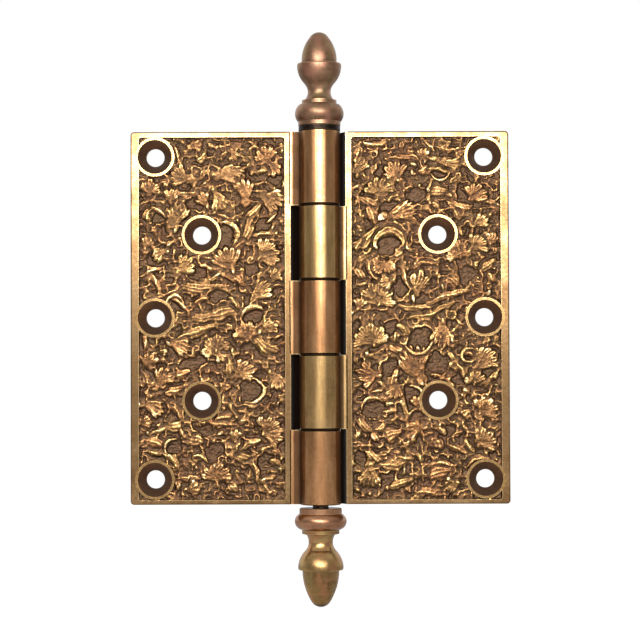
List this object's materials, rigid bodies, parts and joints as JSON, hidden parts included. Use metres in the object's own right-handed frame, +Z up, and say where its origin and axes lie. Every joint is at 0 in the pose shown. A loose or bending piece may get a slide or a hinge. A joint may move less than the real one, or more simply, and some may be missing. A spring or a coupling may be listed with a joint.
{
  "type": "butt hinge",
  "caption": "Ornate cast butt hinge shown open flat: two square leaves with carved foliage relief and countersunk screw holes, a knuckled barrel and acorn finials.",
  "frame": {"origin": "on the pin axis at mid height of the barrel, which is the centre of the open hinge's bounding box", "axes": "+Z up along the pin, +X across to the door leaf, -Y the way the carved faces look when the hinge is open flat"},
  "size_m": [0.129, 0.0176, 0.1953],
  "materials": {
    "frame_leaf_brass": "antique cast, dark ground and rubbed high points",
    "door_leaf_brass": "antique cast, dark ground and rubbed high points",
    "finial_brass": "turned, antique satin",
    "pin_steel": "plain turned",
    "washer_dark": "blackened"
  },
  "bodies": {
    "frame_side": {"frame_leaf": "frame_leaf_brass"},
    "door_side": {"door_leaf": "door_leaf_brass"},
    "pin_set": {"hinge_pin": "pin_steel", "upper_finial": "finial_brass", "lower_finial": "finial_brass", "finial_washer": "washer_dark"}
  },
  "joints": [
    {"name": "leaf_swing", "type": "hinge", "parent": "frame_side", "child": "door_side", "pos_m": [0, 0, 0], "axis": [0, 0, 1], "range_deg": [-180, 95]},
    {"name": "pin_spin", "type": "hinge", "parent": "frame_side", "child": "pin_set", "pos_m": [0, 0, 0], "axis": [0, 0, 1], "continuous": true}
  ]
}
